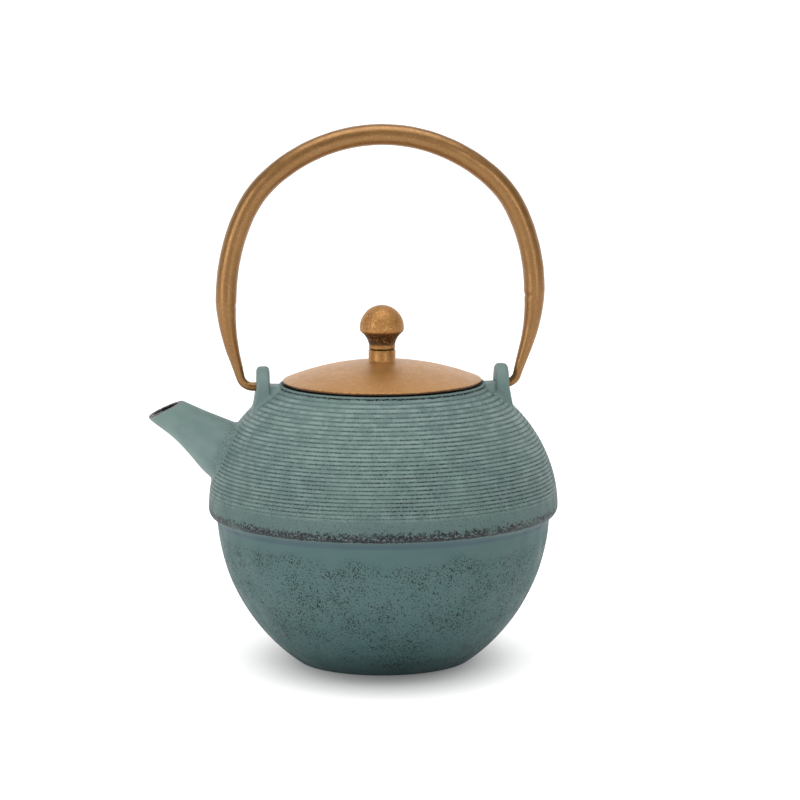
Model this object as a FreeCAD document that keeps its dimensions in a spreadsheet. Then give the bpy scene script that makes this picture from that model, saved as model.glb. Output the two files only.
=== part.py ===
import FreeCAD, Part
import math
import os

import Sketcher
from FreeCAD import Placement, Rotation, Vector

# Cast iron teapot: one ridged pot casting with a spout and two lugs, a loose lid with a
# screwed-on knob, a swinging tube bail, and a stainless tea infuser that hangs in the neck.
# Frame: origin at the centre of the foot, +Z up, spout towards -X, lugs on +X and -X.

SIZES = {
    # bowl
    "foot_radius": 37.3,
    "bowl_top_radius": 71.5,
    "bowl_top_height": 61.6,
    "bowl_arc_radius": 80.1,
    "wall": 3.0,
    "floor_thickness": 3.6,
    # overhanging lip between bowl and dome
    "lip_edge_radius": 73.7,
    "lip_edge_height": 63.6,
    "lip_round": 5.0,
    "lip_top_radius": 75.3,
    "lip_top_height": 67.4,
    # dome and neck
    "dome_centre_radius": 15.3,
    "dome_centre_height": 65.8,
    "dome_arc_radius": 60.0,
    "neck_radius": 44.3,
    "neck_foot_height": 118.35,
    "neck_top_height": 119.9,
    "neck_chamfer": 0.3,
    "neck_bore_radius": 38.6,
    "ledge_radius": 36.2,
    "ledge_height": 117.1,
    "collar_height": 114.5,
    "collar_radius": 44.9,
    "inner_dome_radius": 72.1,
    "inner_dome_height": 70.0,
    "inner_bowl_radius": 68.5,
    "inner_floor_radius": 37.0,
    # how far a cut runs past the face that it opens
    "cut_margin": 1.0,
    # ribs
    "rib_top": 119.0,
    "rib_pitch": 1.61,
    "rib_count": 30.0,
    "rib_fading": 5.0,
    "groove_depth": 0.42,
    "groove_half_width": 0.42,
    # recess under the foot, with the gate pad left standing in its middle
    "pad_radius": 9.0,
    "recess_radius": 31.0,
    "recess_depth": 1.0,
    # spout
    "spout_x": -92.75,
    "spout_z": 110.4,
    "spout_tilt": 37.2,
    "mouth_low_x": -99.75,
    "mouth_low_z": 107.3,
    "mouth_run": 14.0,
    "mouth_rise": 6.2,
    "spout_wall": 1.9,
    # lugs
    "pivot_height": 119.0,
    "lug_inner": 48.3,
    "lug_outer": 54.0,
    "lug_reach": 8.7,
    "lug_crown_step": 1.0,
    "lug_crown_drop": 1.0,
    "lug_crown_round": 1.1,
    "lug_foot_inner": 47.4,
    "lug_foot_outer": 56.0,
    "lug_foot_height": 108.2,
    # saddle that joins a lug to the neck
    "saddle_inner": 43.4,
    "saddle_foot_height": 114.6,
    "saddle_height": 119.6,
    "saddle_half_width": 6.5,
    "eye_radius": 2.0,
    "eye_flare": 1.1,
    "eye_flare_depth": 1.9,
    # lid
    "lid_arc_radius": 112.4,
    "lid_radius": 42.8,
    "lid_edge_round": 0.45,
    "lid_edge_height": 121.3,
    "lid_under_height": 120.5,
    "seat_radius": 40.6,
    "plug_radius": 38.1,
    "plug_inner_radius": 36.0,
    "plug_foot_height": 118.3,
    "lid_inner_height": 119.8,
    "lid_pad_height": 126.8,
    "lid_pad_radius": 7.0,
    "boss_radius": 5.8,
    "boss_foot_radius": 6.5,
    "boss_foot_height": 129.4,
    "boss_wall_foot": 130.3,
    "boss_fillet": 1.0,
    "boss_top_height": 134.4,
    "joint_chamfer": 0.3,
    "screw_hole_radius": 2.2,
    "vent_x": 18.0,
    "vent_y": 16.0,
    "vent_radius": 1.0,
    # knob
    "knob_neck_radius": 5.7,
    "knob_neck_top": 136.2,
    "knob_rim_radius": 9.45,
    "knob_rim_height": 142.4,
    "knob_under_radius": 8.3,
    "knob_under_height": 141.4,
    "knob_flare_radius": 8.0,
    "knob_top_height": 153.5,
    "knob_hole_top": 143.4,
    # screw and washer
    "screw_radius": 2.0,
    "screw_top": 143.0,
    "screw_head_radius": 3.8,
    "screw_head_height": 2.4,
    "screw_head_flat_radius": 2.2,
    "screw_head_round": 2.4,
    "slot_half_width": 0.5,
    "slot_depth": 1.2,
    "washer_radius": 4.6,
    "washer_thickness": 0.8,
    # bail
    "bail_centre_height": 157.7,
    "bail_arc_radius": 68.7,
    "bail_arc_end": 48.2,
    "shoulder_radius": 32.4,
    "shoulder_end": 60.0,
    "left_leg_radius": 85.0,
    "left_lean": 15.2,
    "right_leg_radius": 78.0,
    "right_lean": 17.2,
    "tube_radius": 4.55,
    "tube_wall": 0.9,
    "hook_radius": 1.9,
    "hook_bend": 4.0,
    "hook_tip": 49.0,
    # infuser
    "infuser_rim_radius": 38.0,
    "infuser_rim_thickness": 0.6,
    "infuser_bead_height": 1.0,
    "infuser_bead_width": 1.0,
    "infuser_radius": 34.6,
    "infuser_sheet": 0.5,
    "infuser_foot": 54.0,
    "infuser_band": 3.0,
}

# Spout sections along its axis: distance from the mouth (+ outward), rise of the section's
# centre across the axis, and outer radius.
SPOUT_SECTIONS = (
    (6.0, -1.5, 6.3),
    (-5.0, -0.65, 7.65),
    (-15.0, 0.0, 9.2),
    (-24.0, 0.1, 11.4),
    (-34.0, 0.6, 13.3),
)
SPOUT_BORE_END = -42.0

doc = FreeCAD.newDocument("teapot")
sheet = doc.addObject("Spreadsheet::Sheet", "Sizes")


def fill_sheet():
    for row, (alias, value) in enumerate(SIZES.items(), start=1):
        sheet.set("A%d" % row, alias)
        sheet.set("B%d" % row, str(value))
        sheet.setAlias("B%d" % row, alias)
    doc.recompute()


def number(text):
    """The value of a sum such as 'neck_radius - neck_chamfer'."""
    total = 0.0
    sign = 1.0
    for word in text.split():
        if word in ("+", "-"):
            sign = 1.0 if word == "+" else -1.0
        else:
            total += sign * (SIZES[word] if word in SIZES else float(word))
    return total


def bound(text):
    """The same sum as an expression on the sheet's cells."""
    return " ".join("Sizes." + word if word in SIZES else word for word in text.split())


def new_body(label):
    body = doc.addObject("PartDesign::Body", label)
    body.Label = label
    return body


def new_sketch(body, role, name):
    plane = [item for item in body.Origin.OriginFeatures if item.Role == role][0]
    sketch = body.newObject("Sketcher::SketchObject", name)
    sketch.AttachmentSupport = (plane, [""])
    sketch.MapMode = "FlatFace"
    return sketch


def arc_between(start, end, radius):
    """Arc from start to end; a positive radius turns anticlockwise."""
    chord = end - start
    half = chord.Length / 2
    side = Vector(-chord.y, chord.x, 0).normalize()
    rise = math.sqrt(max(radius * radius - half * half, 0.0))
    centre = (start + end) * 0.5 + side * (rise if radius > 0 else -rise)
    first = math.atan2(start.y - centre.y, start.x - centre.x)
    last = math.atan2(end.y - centre.y, end.x - centre.x)
    if radius < 0:
        first, last = last, first
    circle = Part.Circle(centre, Vector(0, 0, 1), abs(radius))
    return Part.ArcOfCircle(circle, first, last if last > first else last + 2 * math.pi)


def ball_radius(start, end):
    """Radius of the arc through two points whose centre is on the upright axis."""
    centre = (end.y ** 2 + end.x ** 2 - start.y ** 2 - start.x ** 2) / (2 * (end.y - start.y))
    return math.hypot(start.x, start.y - centre)


def outline(sketch, corners):
    """Closed outline through corners (across, up[, the arc that leads there]).

    An arc is given by its radius, with a minus where it turns clockwise, or by the word
    "ball" where its centre is on the upright axis.
    """
    points = [Vector(number(corner[0]), number(corner[1]), 0) for corner in corners]
    count = len(corners)
    sides = []
    for index in range(count):
        after = (index + 1) % count
        start, end = points[index], points[after]
        corner = corners[after]
        if corner[2:] == ("ball",):
            side = sketch.addGeometry(arc_between(start, end, ball_radius(start, end)), False)
            sketch.addConstraint(Sketcher.Constraint("PointOnObject", side, 3, -2))
            sides.append((side, (1, 2)))
        elif len(corner) > 2:
            turn = -1 if corner[2].startswith("-") else 1
            radius = number(corner[2].lstrip("-"))
            side = sketch.addGeometry(arc_between(start, end, turn * radius), False)
            key = sketch.addConstraint(Sketcher.Constraint("Radius", side, radius))
            sketch.setExpression("Constraints[%d]" % key, bound(corner[2].lstrip("-")))
            sides.append((side, (1, 2) if turn > 0 else (2, 1)))
        else:
            side = sketch.addGeometry(Part.LineSegment(start, end), False)
            sides.append((side, (1, 2)))
    for index in range(count):
        side, (first, _) = sides[index]
        before, (_, last) = sides[index - 1]
        sketch.addConstraint(Sketcher.Constraint("Coincident", before, last, side, first))
        pin(sketch, side, first, corners[index])


def pin(sketch, side, end, corner):
    """Fixes a vertex at the place that its two sheet expressions give."""
    for kind, text in (("DistanceX", corner[0]), ("DistanceY", corner[1])):
        value = number(text)
        key = sketch.addConstraint(Sketcher.Constraint(kind, -1, 1, side, end, value))
        sketch.setExpression("Constraints[%d]" % key, bound(text))


def revolved(body, name, corners, cut=False, axis="V_Axis"):
    """Solid of revolution, or the same taken away, about an axis of its own sketch."""
    sketch = new_sketch(body, "XZ_Plane", name + "_outline")
    outline(sketch, corners)
    kind = "PartDesign::Groove" if cut else "PartDesign::Revolution"
    feature = body.newObject(kind, name)
    feature.Profile = sketch
    feature.ReferenceAxis = (sketch, [axis])
    feature.Angle = 360
    doc.recompute()
    return feature


def circle_on(sketch, height, radius):
    """Circle of a bound radius, its centre on the sketch's upright axis."""
    ring = sketch.addGeometry(Part.Circle(Vector(0, height, 0), Vector(0, 0, 1), radius), False)
    sketch.addConstraint(Sketcher.Constraint("PointOnObject", ring, 3, -2))
    sketch.addConstraint(Sketcher.Constraint("DistanceY", -1, 1, ring, 3, height))
    return ring, sketch.addConstraint(Sketcher.Constraint("Radius", ring, radius))


def dome_crest(height):
    """Point of the smooth outline at a height, and the direction square to it."""
    if height > SIZES["neck_foot_height"]:
        return Vector(SIZES["neck_radius"], height, 0), Vector(1, 0, 0)
    slope = (height - SIZES["dome_centre_height"]) / SIZES["dome_arc_radius"]
    out = Vector(math.sqrt(1 - slope * slope), slope, 0)
    centre = Vector(SIZES["dome_centre_radius"], SIZES["dome_centre_height"], 0)
    return centre + out * SIZES["dome_arc_radius"], out


def pot_shell(body):
    return revolved(body, "shell", [
        ("0", "0"),
        ("foot_radius", "0"),
        ("bowl_top_radius", "bowl_top_height", "bowl_arc_radius"),
        ("lip_edge_radius", "lip_edge_height"),
        ("lip_top_radius", "lip_top_height", "lip_round"),
        ("neck_radius", "neck_foot_height", "dome_arc_radius"),
        ("neck_radius", "neck_top_height - neck_chamfer"),
        ("neck_radius - neck_chamfer", "neck_top_height"),
        ("0", "neck_top_height"),
    ])


def rib_grooves(body):
    """Shallow level grooves at an even height pitch leave the dome's ribs; the last few fade."""
    sketch = new_sketch(body, "XZ_Plane", "ribs_outline")
    count = int(SIZES["rib_count"])
    margin = 0.5
    for index in range(count):
        height = SIZES["rib_top"] - index * SIZES["rib_pitch"]
        fade = min(1.0, (count - index) / SIZES["rib_fading"])
        crest, out = dome_crest(height)
        along = Vector(-out.y, out.x, 0)
        tip = crest - out * SIZES["groove_depth"] * fade
        spread = SIZES["groove_half_width"] * (1 + margin / SIZES["groove_depth"])
        corners = [tip, crest + out * margin * fade + along * spread,
                   crest + out * margin * fade - along * spread]
        sides = [sketch.addGeometry(Part.LineSegment(corners[i], corners[(i + 1) % 3]), False)
                 for i in range(3)]
        for i in range(3):
            sketch.addConstraint(Sketcher.Constraint("Coincident", sides[i], 2,
                                                     sides[(i + 1) % 3], 1))
    groove = body.newObject("PartDesign::Groove", "ribs")
    groove.Profile = sketch
    groove.ReferenceAxis = (sketch, ["V_Axis"])
    groove.Angle = 360
    doc.recompute()
    return groove


def spout_section(body, name, along, rise, radius, inset):
    """Round section square to the spout's axis, at a distance along it from the mouth."""
    sketch = new_sketch(body, "YZ_Plane", name)
    tilt = math.radians(SIZES["spout_tilt"])
    sketch.AttachmentOffset = Placement(
        Vector(0, SIZES["spout_z"] + along * math.sin(tilt),
               SIZES["spout_x"] - along * math.cos(tilt)),
        Rotation(Vector(1, 0, 0), SIZES["spout_tilt"]))
    base = "AttachmentOffset.Base."
    sketch.setExpression(base + "y", "Sizes.spout_z + %g * sin(Sizes.spout_tilt)" % along)
    sketch.setExpression(base + "z", "Sizes.spout_x - %g * cos(Sizes.spout_tilt)" % along)
    _, key = circle_on(sketch, rise, radius - inset)
    if inset:
        sketch.setExpression("Constraints[%d]" % key, "%g - Sizes.spout_wall" % radius)
    return sketch


def spout_loft(body, name, kind, inset):
    sections = [spout_section(body, "%s_section_%d" % (name, index + 1), *row, inset)
                for index, row in enumerate(SPOUT_SECTIONS)]
    if inset:
        along, rise, radius = SPOUT_SECTIONS[-1]
        sections.append(spout_section(body, name + "_section_end", SPOUT_BORE_END, rise,
                                      radius, inset))
    loft = body.newObject(kind, name)
    loft.Profile = sections[0]
    loft.Sections = sections[1:]
    loft.Ruled = False
    doc.recompute()
    return loft


def spout_mouth(body):
    """The oblique cut that opens the mouth."""
    sketch = new_sketch(body, "XZ_Plane", "mouth_outline")
    outline(sketch, [
        ("mouth_low_x - mouth_run", "mouth_low_z - mouth_rise"),
        ("mouth_low_x + mouth_run + mouth_run", "mouth_low_z + mouth_rise + mouth_rise"),
        ("mouth_low_x - mouth_run", "mouth_low_z + mouth_rise + mouth_rise"),
    ])
    pocket = body.newObject("PartDesign::Pocket", "mouth")
    pocket.Profile = sketch
    pocket.Type = 1
    pocket.Midplane = True
    doc.recompute()
    return pocket


def lug(body):
    """Round tab about the bail's axis, on a block that runs down into the dome."""
    pivot = new_sketch(body, "XZ_Plane", "lug_tab_outline")
    pivot.AttachmentOffset = Placement(Vector(0, SIZES["pivot_height"], 0), Rotation())
    pivot.setExpression("AttachmentOffset.Base.y", "Sizes.pivot_height")
    outline(pivot, [
        ("lug_inner", "0"),
        ("lug_outer", "0"),
        ("lug_outer", "lug_reach - lug_crown_drop"),
        ("lug_outer - lug_crown_step", "lug_reach", "lug_crown_round"),
        ("lug_inner + lug_crown_step", "lug_reach"),
        ("lug_inner", "lug_reach - lug_crown_drop", "lug_crown_round"),
    ])
    tab = body.newObject("PartDesign::Revolution", "lug_tab")
    tab.Profile = pivot
    tab.ReferenceAxis = (pivot, ["H_Axis"])
    tab.Angle = 360
    doc.recompute()

    sketch = new_sketch(body, "XZ_Plane", "lug_block_outline")
    outline(sketch, [
        ("lug_foot_inner", "lug_foot_height"),
        ("lug_foot_outer", "lug_foot_height"),
        ("lug_outer", "pivot_height"),
        ("lug_inner", "pivot_height"),
    ])
    block = body.newObject("PartDesign::Pad", "lug_block")
    block.Profile = sketch
    block.Midplane = True
    block.setExpression("Length", "2 * Sizes.lug_reach")
    doc.recompute()
    return tab, block


def saddle(body):
    """Low web between the neck and a lug."""
    sketch = new_sketch(body, "XZ_Plane", "saddle_outline")
    outline(sketch, [
        ("saddle_inner", "saddle_foot_height"),
        ("lug_inner + cut_margin", "saddle_foot_height"),
        ("lug_inner + cut_margin", "saddle_height"),
        ("saddle_inner", "saddle_height"),
    ])
    web = body.newObject("PartDesign::Pad", "saddle")
    web.Profile = sketch
    web.Midplane = True
    web.setExpression("Length", "2 * Sizes.saddle_half_width")
    doc.recompute()
    return web


def lug_eye(body):
    """Eye for the bail's hook, flared where the hook's bend enters."""
    sketch = new_sketch(body, "XZ_Plane", "eye_outline")
    sketch.AttachmentOffset = Placement(Vector(0, SIZES["pivot_height"], 0), Rotation())
    sketch.setExpression("AttachmentOffset.Base.y", "Sizes.pivot_height")
    outline(sketch, [
        ("lug_inner - cut_margin", "0"),
        ("lug_outer + cut_margin", "0"),
        ("lug_outer + cut_margin", "eye_radius + eye_flare"),
        ("lug_outer", "eye_radius + eye_flare"),
        ("lug_outer - eye_flare_depth", "eye_radius"),
        ("lug_inner - cut_margin", "eye_radius"),
    ])
    eye = body.newObject("PartDesign::Groove", "eye")
    eye.Profile = sketch
    eye.ReferenceAxis = (sketch, ["H_Axis"])
    eye.Angle = 360
    doc.recompute()
    return eye


def mirrored(body, name, originals):
    """The same features on the other side of the YZ plane."""
    twin = body.newObject("PartDesign::Mirrored", name)
    twin.Originals = originals
    side = [item for item in body.Origin.OriginFeatures if item.Role == "YZ_Plane"][0]
    twin.MirrorPlane = (side, [""])
    body.Tip = twin
    doc.recompute()
    return twin


def pot_cavity(body):
    """Inside of the casting: bowl, dome, the collar's ledge for the infuser, and the neck."""
    return revolved(body, "cavity", [
        ("0", "floor_thickness"),
        ("inner_floor_radius", "floor_thickness"),
        ("inner_bowl_radius", "bowl_top_height", "bowl_arc_radius - wall"),
        ("inner_dome_radius", "inner_dome_height"),
        ("collar_radius", "collar_height", "dome_arc_radius - wall"),
        ("ledge_radius", "collar_height"),
        ("ledge_radius", "ledge_height"),
        ("neck_bore_radius", "ledge_height"),
        ("neck_bore_radius", "neck_top_height + cut_margin"),
        ("0", "neck_top_height + cut_margin"),
    ], cut=True)


def foot_recess(body):
    return revolved(body, "recess", [
        ("pad_radius", "0 - cut_margin"),
        ("recess_radius", "0 - cut_margin"),
        ("recess_radius", "recess_depth"),
        ("pad_radius", "recess_depth"),
    ], cut=True)


def pot_body():
    body = new_body("pot_body")
    pot_shell(body)
    rib_grooves(body)
    spout_loft(body, "spout", "PartDesign::AdditiveLoft", 0.0)
    spout_mouth(body)
    tab, block = lug(body)
    mirrored(body, "lugs", [tab, block, saddle(body)])
    pot_cavity(body)
    spout_loft(body, "bore", "PartDesign::SubtractiveLoft", SIZES["spout_wall"])
    eye = lug_eye(body)
    mirrored(body, "eyes", [eye])
    foot_recess(body)
    return body


def lid_dome():
    body = new_body("lid_dome")
    revolved(body, "cap", [
        ("screw_hole_radius", "lid_pad_height"),
        ("lid_pad_radius", "lid_pad_height"),
        ("plug_inner_radius", "lid_inner_height", "-lid_arc_radius"),
        ("plug_inner_radius", "plug_foot_height"),
        ("plug_radius", "plug_foot_height"),
        ("plug_radius", "neck_top_height"),
        ("seat_radius", "neck_top_height"),
        ("seat_radius", "lid_under_height"),
        ("lid_radius", "lid_under_height"),
        ("lid_radius", "lid_edge_height", "lid_edge_round"),
        ("boss_foot_radius", "boss_foot_height", "lid_arc_radius"),
        ("boss_radius", "boss_wall_foot", "-boss_fillet"),
        ("boss_radius", "boss_top_height - joint_chamfer"),
        ("boss_radius - joint_chamfer", "boss_top_height"),
        ("screw_hole_radius", "boss_top_height"),
    ])
    sketch = new_sketch(body, "XY_Plane", "vent_outline")
    ring = sketch.addGeometry(Part.Circle(Vector(SIZES["vent_x"], SIZES["vent_y"], 0),
                                          Vector(0, 0, 1), SIZES["vent_radius"]), False)
    pin(sketch, ring, 3, ("vent_x", "vent_y"))
    key = sketch.addConstraint(Sketcher.Constraint("Radius", ring, SIZES["vent_radius"]))
    sketch.setExpression("Constraints[%d]" % key, "Sizes.vent_radius")
    vent = body.newObject("PartDesign::Pocket", "vent")
    vent.Profile = sketch
    vent.Type = 1
    vent.Reversed = True
    doc.recompute()
    return body


def lid_knob():
    body = new_body("lid_knob")
    revolved(body, "knob", [
        ("screw_radius", "boss_top_height"),
        ("knob_neck_radius - joint_chamfer", "boss_top_height"),
        ("knob_neck_radius", "boss_top_height + joint_chamfer"),
        ("knob_neck_radius", "knob_neck_top"),
        ("knob_under_radius", "knob_under_height", "-knob_flare_radius"),
        ("knob_rim_radius", "knob_rim_height"),
        ("0", "knob_top_height", "ball"),
        ("0", "knob_hole_top"),
        ("screw_radius", "knob_hole_top"),
    ])
    return body


def knob_screw():
    body = new_body("knob_screw")
    low = "lid_pad_height - washer_thickness - screw_head_height"
    revolved(body, "screw", [
        ("0", low),
        ("screw_head_flat_radius", low),
        ("screw_head_radius", "lid_pad_height - washer_thickness", "screw_head_round"),
        ("screw_radius", "lid_pad_height - washer_thickness"),
        ("screw_radius", "screw_top"),
        ("0", "screw_top"),
    ])
    sketch = new_sketch(body, "XZ_Plane", "slot_outline")
    outline(sketch, [
        ("0 - slot_half_width", low + " - cut_margin"),
        ("slot_half_width", low + " - cut_margin"),
        ("slot_half_width", low + " + slot_depth"),
        ("0 - slot_half_width", low + " + slot_depth"),
    ])
    slot = body.newObject("PartDesign::Pocket", "slot")
    slot.Profile = sketch
    slot.Type = 1
    slot.Midplane = True
    doc.recompute()
    return body


def knob_washer():
    body = new_body("knob_washer")
    revolved(body, "washer", [
        ("screw_hole_radius", "lid_pad_height - washer_thickness"),
        ("washer_radius", "lid_pad_height - washer_thickness"),
        ("washer_radius", "lid_pad_height"),
        ("screw_hole_radius", "lid_pad_height"),
    ])
    return body


def bail_route(side):
    """Centreline points of one side of the bail, from the top down to the hook's tip.

    Each stretch is (kind, points): arcs as start, middle and end, straight runs as two ends.
    """
    def at(centre, radius, angle):
        turn = math.radians(angle)
        return Vector(side * (centre.x + radius * math.sin(turn)), 0,
                      centre.z + radius * math.cos(turn))

    def arc(centre, radius, first, last):
        return [at(centre, radius, angle) for angle in (first, (first + last) / 2, last)]

    def next_centre(centre, radius, angle, new_radius):
        turn = math.radians(angle)
        shift = radius - new_radius
        return Vector(centre.x + shift * math.sin(turn), 0, centre.z + shift * math.cos(turn))

    leg_radius = SIZES["left_leg_radius" if side < 0 else "right_leg_radius"]
    lean = SIZES["left_lean" if side < 0 else "right_lean"]
    top = Vector(0, 0, SIZES["bail_centre_height"])
    first_end, second_end = SIZES["bail_arc_end"], SIZES["shoulder_end"]
    shoulder = next_centre(top, SIZES["bail_arc_radius"], first_end, SIZES["shoulder_radius"])
    leg = next_centre(shoulder, SIZES["shoulder_radius"], second_end, leg_radius)
    arch = [
        arc(top, SIZES["bail_arc_radius"], 0, first_end),
        arc(shoulder, SIZES["shoulder_radius"], first_end, second_end),
        arc(leg, leg_radius, second_end, 90),
    ]
    bend = arc(leg, leg_radius, 90, 90 + lean)
    down = Vector(-side * math.sin(math.radians(lean)), 0, -math.cos(math.radians(lean)))
    corner = bend[2] + down * ((bend[2].z - SIZES["pivot_height"]) / -down.z)
    tangent = SIZES["hook_bend"] * math.tan(math.radians((90 - lean) / 2))
    leg_end = corner - down * tangent
    hook_end = corner - Vector(side * tangent, 0, 0)
    hook_centre = hook_end + Vector(0, 0, SIZES["hook_bend"])
    inward = corner - hook_centre
    hook_middle = hook_centre + inward * (SIZES["hook_bend"] / inward.Length)
    tip = Vector(side * SIZES["hook_tip"], 0, SIZES["pivot_height"])
    return {"arch": arch, "bend": bend, "leg": [bend[2], leg_end],
            "hook": [leg_end, hook_middle, hook_end], "tip": [hook_end, tip]}


def route_sketch(body, name, stretches):
    """Sketch in the XZ plane of arcs (three points) and straight runs (two points)."""
    sketch = new_sketch(body, "XZ_Plane", name)
    for stretch in stretches:
        flat = [Vector(point.x, point.z, 0) for point in stretch]
        if len(flat) == 3:
            sketch.addGeometry(Part.Arc(*flat), False)
        else:
            sketch.addGeometry(Part.LineSegment(*flat), False)
    return sketch


def ring_sketch(body, name, centre, normal_tilt, radius, inset):
    """Circle square to the bail's centreline; normal_tilt turns it about Y from the YZ plane."""
    sketch = new_sketch(body, "YZ_Plane", name)
    sketch.AttachmentOffset = Placement(Vector(0, centre.z, centre.x),
                                        Rotation(Vector(1, 0, 0), normal_tilt))
    _, key = circle_on(sketch, 0.0, SIZES[radius] - (SIZES["tube_wall"] if inset else 0.0))
    formula = "Sizes." + radius + (" - Sizes.tube_wall" if inset else "")
    sketch.setExpression("Constraints[%d]" % key, formula)
    return sketch


def pipe(body, name, cut, route, start, sections=()):
    kind = "PartDesign::SubtractivePipe" if cut else "PartDesign::AdditivePipe"
    feature = body.newObject(kind, name)
    feature.Profile = start
    feature.Spine = (route, [])
    feature.Mode = "Standard"
    if sections:
        feature.Transformation = "Multisection"
        feature.Sections = list(sections)
    doc.recompute()
    return feature


def bail_tube():
    body = new_body("bail_tube")
    routes = {side: bail_route(side) for side in (-1, 1)}
    for cut in (False, True):
        word = "core" if cut else "tube"
        arch = route_sketch(body, word + "_arch_route",
                            routes[-1]["arch"][::-1] + routes[1]["arch"])
        start = routes[-1]["arch"][-1][-1]
        pipe(body, word + "_arch", cut, arch,
             ring_sketch(body, word + "_arch_start", start, 90, "tube_radius", cut))
        for side, hand in ((-1, "left"), (1, "right")):
            route = routes[side]
            lean = SIZES[hand + "_lean"]
            name = "%s_%s_leg" % (word, hand)
            leg = route_sketch(body, name + "_route", [route["bend"], route["leg"]])
            wide = ring_sketch(body, name + "_start", route["bend"][0], 90, "tube_radius", cut)
            slim = ring_sketch(body, name + "_end", route["leg"][1], 90 + side * lean,
                               "hook_radius", cut)
            pipe(body, name, cut, leg, wide, [slim])
            if not cut:
                hook = route_sketch(body, name + "_hook_route", [route["hook"], route["tip"]])
                pipe(body, name + "_hook", cut, hook,
                     ring_sketch(body, name + "_hook_start", route["leg"][1],
                                 90 + side * lean, "hook_radius", False))
    return body


def infuser_rim():
    body = new_body("infuser_rim")
    revolved(body, "rim", [
        ("infuser_radius", "ledge_height - infuser_band"),
        ("infuser_radius + infuser_sheet", "ledge_height - infuser_band"),
        ("infuser_radius + infuser_sheet", "ledge_height"),
        ("infuser_rim_radius", "ledge_height"),
        ("infuser_rim_radius", "ledge_height + infuser_bead_height"),
        ("infuser_rim_radius - infuser_bead_width", "ledge_height + infuser_bead_height"),
        ("infuser_rim_radius - infuser_bead_width", "ledge_height + infuser_rim_thickness"),
        ("infuser_radius", "ledge_height + infuser_rim_thickness"),
    ])
    return body


def infuser_wall():
    body = new_body("infuser_wall")
    revolved(body, "sleeve", [
        ("infuser_radius - infuser_sheet", "infuser_foot"),
        ("infuser_radius", "infuser_foot"),
        ("infuser_radius", "ledge_height"),
        ("infuser_radius - infuser_sheet", "ledge_height"),
    ])
    return body


def infuser_base_ring():
    body = new_body("infuser_base_ring")
    revolved(body, "channel", [
        ("infuser_radius - infuser_band", "infuser_foot - infuser_sheet - infuser_sheet"),
        ("infuser_radius + infuser_sheet", "infuser_foot - infuser_sheet - infuser_sheet"),
        ("infuser_radius + infuser_sheet", "infuser_foot + infuser_band"),
        ("infuser_radius", "infuser_foot + infuser_band"),
        ("infuser_radius", "infuser_foot - infuser_sheet"),
        ("infuser_radius - infuser_band", "infuser_foot - infuser_sheet"),
    ])
    return body


def infuser_floor():
    body = new_body("infuser_floor")
    revolved(body, "disc", [
        ("0", "infuser_foot - infuser_sheet"),
        ("infuser_radius", "infuser_foot - infuser_sheet"),
        ("infuser_radius", "infuser_foot"),
        ("0", "infuser_foot"),
    ])
    return body


def check_and_write(pieces):
    for item in doc.Objects:
        if "Invalid" in item.State or "Error" in item.State:
            raise RuntimeError("failed: %s %s" % (item.Name, item.State))
    os.makedirs("parts", exist_ok=True)
    for piece in pieces:
        shape = piece.Shape
        if shape.isNull() or not shape.isValid() or len(shape.Solids) != 1:
            raise RuntimeError("bad shape: %s" % piece.Label)
        shape.exportStep("parts/%s.step" % piece.Label)
        box = shape.BoundBox
        print("%-18s %9.1f mm3  z %.2f to %.2f" % (piece.Label, shape.Volume, box.ZMin, box.ZMax))


fill_sheet()
check_and_write([
    pot_body(),
    lid_dome(),
    lid_knob(),
    knob_screw(),
    knob_washer(),
    bail_tube(),
    infuser_rim(),
    infuser_wall(),
    infuser_base_ring(),
    infuser_floor(),
])
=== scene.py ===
import bpy
import math
import numpy as np
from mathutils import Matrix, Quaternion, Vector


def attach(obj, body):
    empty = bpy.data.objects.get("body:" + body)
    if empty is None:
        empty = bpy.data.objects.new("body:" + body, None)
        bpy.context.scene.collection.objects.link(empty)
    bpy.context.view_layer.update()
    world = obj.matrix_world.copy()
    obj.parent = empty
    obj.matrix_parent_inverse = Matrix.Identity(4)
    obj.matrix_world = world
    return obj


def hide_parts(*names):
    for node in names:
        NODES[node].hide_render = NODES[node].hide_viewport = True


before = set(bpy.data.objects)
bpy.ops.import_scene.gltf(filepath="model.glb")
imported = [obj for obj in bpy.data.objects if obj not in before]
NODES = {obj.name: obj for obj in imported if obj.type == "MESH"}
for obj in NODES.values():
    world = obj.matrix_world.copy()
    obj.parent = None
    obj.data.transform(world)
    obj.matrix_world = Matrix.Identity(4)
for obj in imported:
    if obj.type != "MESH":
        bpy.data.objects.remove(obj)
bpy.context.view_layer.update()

# Cast iron teapot. Shapes are in millimetres until a mesh is made; heights and radii in the
# materials are in metres, as the shader sees them. Outlines are (across, up) pairs.
MM = 0.001

# pot outline
FOOT_RADIUS = 37.3
BOWL_TOP = (71.5, 61.6)
BOWL_ARC = 80.1
LIP_EDGE = (73.7, 63.6)
LIP_ROUND = 5.0
LIP_TOP = (75.3, 67.4)
DOME_CENTRE = (15.3, 65.8)
DOME_ARC = 60.0
NECK_RADIUS = 44.3
NECK_FOOT = 118.35
NECK_TOP = 119.9
WALL = 3.0
RIB_TOP = 119.0
RIB_PITCH = 1.61
RIB_COUNT = 30
RIB_FADING = 5
RIB_DEPTH = 0.40
LEDGE = 117.1
LINING_TOP = (44.9, 114.5)
LINING_FLOOR = 3.6

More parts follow.
